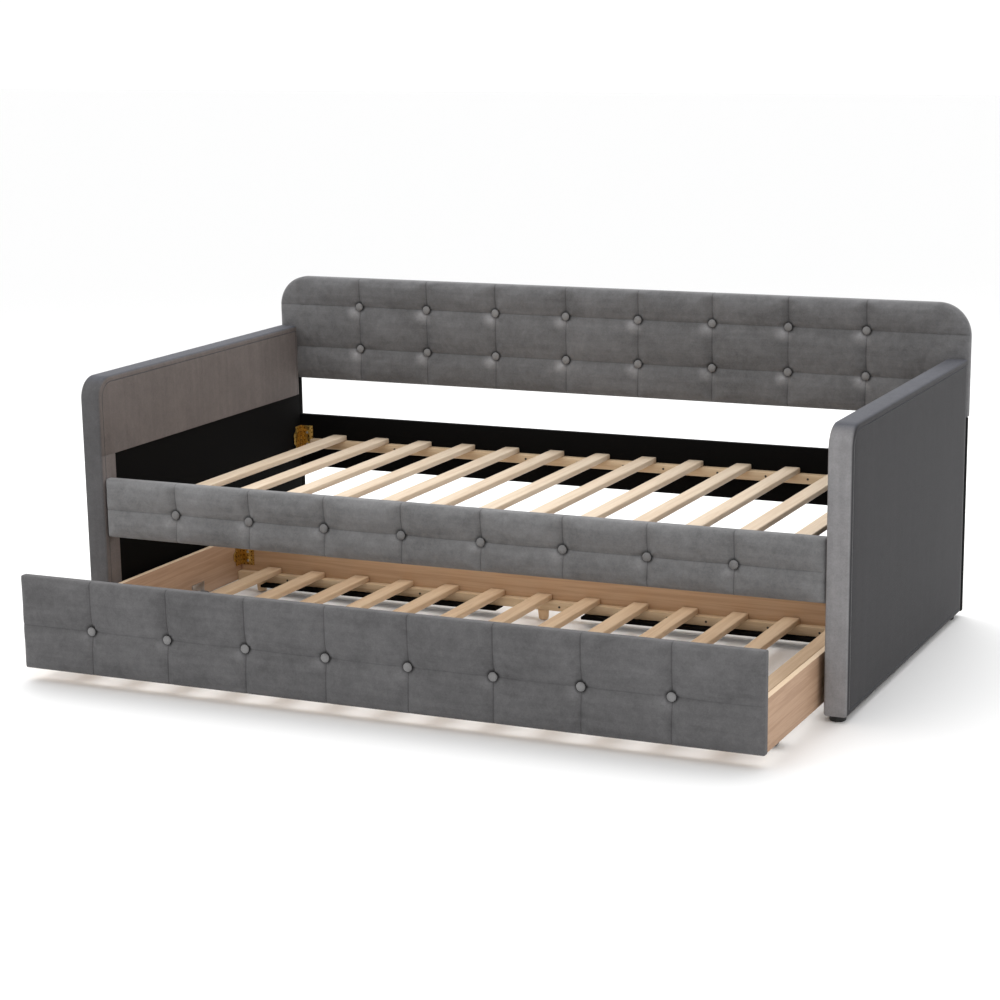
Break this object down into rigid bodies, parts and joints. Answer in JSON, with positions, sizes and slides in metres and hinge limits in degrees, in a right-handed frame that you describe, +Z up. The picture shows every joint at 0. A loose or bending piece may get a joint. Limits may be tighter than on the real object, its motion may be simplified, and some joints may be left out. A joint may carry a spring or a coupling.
{
  "type": "daybed",
  "caption": "Upholstered daybed with button-tufted backrest and front rail, slatted bed base, and a roll-out trundle bed with its own slats under the front rail.",
  "frame": {"origin": "on the floor, under the middle of the box round the bed and its rolled-out trundle", "axes": "+X along the bed towards the right arm seen from the front, +Y from the front to the backrest, +Z up"},
  "size_m": [2.1, 1.5062, 0.856],
  "materials": {
    "velvet": "grey velvet with a soft nap",
    "black_lining": "matt black lining cloth",
    "hidden_board": "raw board",
    "pine": "planed pale pine",
    "laminate": "satin beech laminate",
    "brass_plate": "yellow-plated steel",
    "black_plastic": "matt black",
    "grey_nylon": "satin grey nylon",
    "zinc_steel": "zinc-plated steel"
  },
  "bodies": {
    "frame": {"right_arm_frame": "hidden_board", "right_arm_cover": "velvet", "right_arm_lining": "black_lining", "left_arm_frame": "hidden_board", "left_arm_cover": "velvet", "left_arm_lining": "black_lining", "left_front_foot": "black_plastic", "left_back_foot": "black_plastic", "right_front_foot": "black_plastic", "right_back_foot": "black_plastic", "backrest_board": "hidden_board", "backrest_pad": "velvet", "right_backrest_upright": "velvet", "left_backrest_upright": "velvet", "front_rail": "hidden_board", "front_rail_pad": "velvet", "back_rail": "black_lining", "front_ledger": "pine", "back_ledger": "pine", "bed_slat_1": "pine", "bed_slat_2": "pine", "bed_slat_3": "pine", "bed_slat_4": "pine", "bed_slat_5": "pine", "bed_slat_6": "pine", "bed_slat_7": "pine", "bed_slat_8": "pine", "bed_slat_9": "pine", "bed_slat_10": "pine", "bed_slat_11": "pine", "bed_slat_12": "pine", "bed_slat_13": "pine", "bed_bracket_left_back": "brass_plate", "bed_bracket_right_back": "brass_plate", "bed_bracket_left_front": "brass_plate", "bed_bracket_right_front": "brass_plate"},
    "trundle": {"trundle_front": "hidden_board", "trundle_front_pad": "velvet", "trundle_right_side": "laminate", "trundle_left_side": "laminate", "trundle_back": "laminate", "trundle_slat_deck": "pine", "trundle_bracket_left_back": "brass_plate", "trundle_bracket_right_back": "brass_plate", "trundle_bracket_left_front": "brass_plate", "trundle_bracket_right_front": "brass_plate", "trundle_right_runner": "black_plastic", "trundle_left_runner": "black_plastic", "trundle_left_peg": "pine", "trundle_middle_peg": "pine", "trundle_right_peg": "pine", "left_front_caster_mount": "zinc_steel", "right_front_caster_mount": "zinc_steel", "left_back_caster_mount": "zinc_steel", "right_back_caster_mount": "zinc_steel"},
    "left_front_wheel": {"left_front_wheel": "grey_nylon"},
    "right_front_wheel": {"right_front_wheel": "grey_nylon"},
    "left_back_wheel": {"left_back_wheel": "grey_nylon"},
    "right_back_wheel": {"right_back_wheel": "grey_nylon"}
  },
  "joints": [
    {"name": "trundle_slide", "type": "slide", "parent": "frame", "child": "trundle", "axis": [0, -1, 0], "range_m": [-0.412, 0.64]},
    {"name": "left_front_wheel_spin", "type": "hinge", "parent": "trundle", "child": "left_front_wheel", "pos_m": [-0.9421, -0.56315, 0.025], "axis": [1, 0, 0], "continuous": true},
    {"name": "right_front_wheel_spin", "type": "hinge", "parent": "trundle", "child": "right_front_wheel", "pos_m": [0.9421, -0.56315, 0.025], "axis": [1, 0, 0], "continuous": true},
    {"name": "left_back_wheel_spin", "type": "hinge", "parent": "trundle", "child": "left_back_wheel", "pos_m": [-0.9421, 0.04985, 0.025], "axis": [1, 0, 0], "continuous": true},
    {"name": "right_back_wheel_spin", "type": "hinge", "parent": "trundle", "child": "right_back_wheel", "pos_m": [0.9421, 0.04985, 0.025], "axis": [1, 0, 0], "continuous": true}
  ],
  "couplings": [
    {"joint": "left_front_wheel_spin", "follows": "trundle_slide", "rad_per_m": 40},
    {"joint": "right_front_wheel_spin", "follows": "trundle_slide", "rad_per_m": 40},
    {"joint": "left_back_wheel_spin", "follows": "trundle_slide", "rad_per_m": 40},
    {"joint": "right_back_wheel_spin", "follows": "trundle_slide", "rad_per_m": 40}
  ]
}
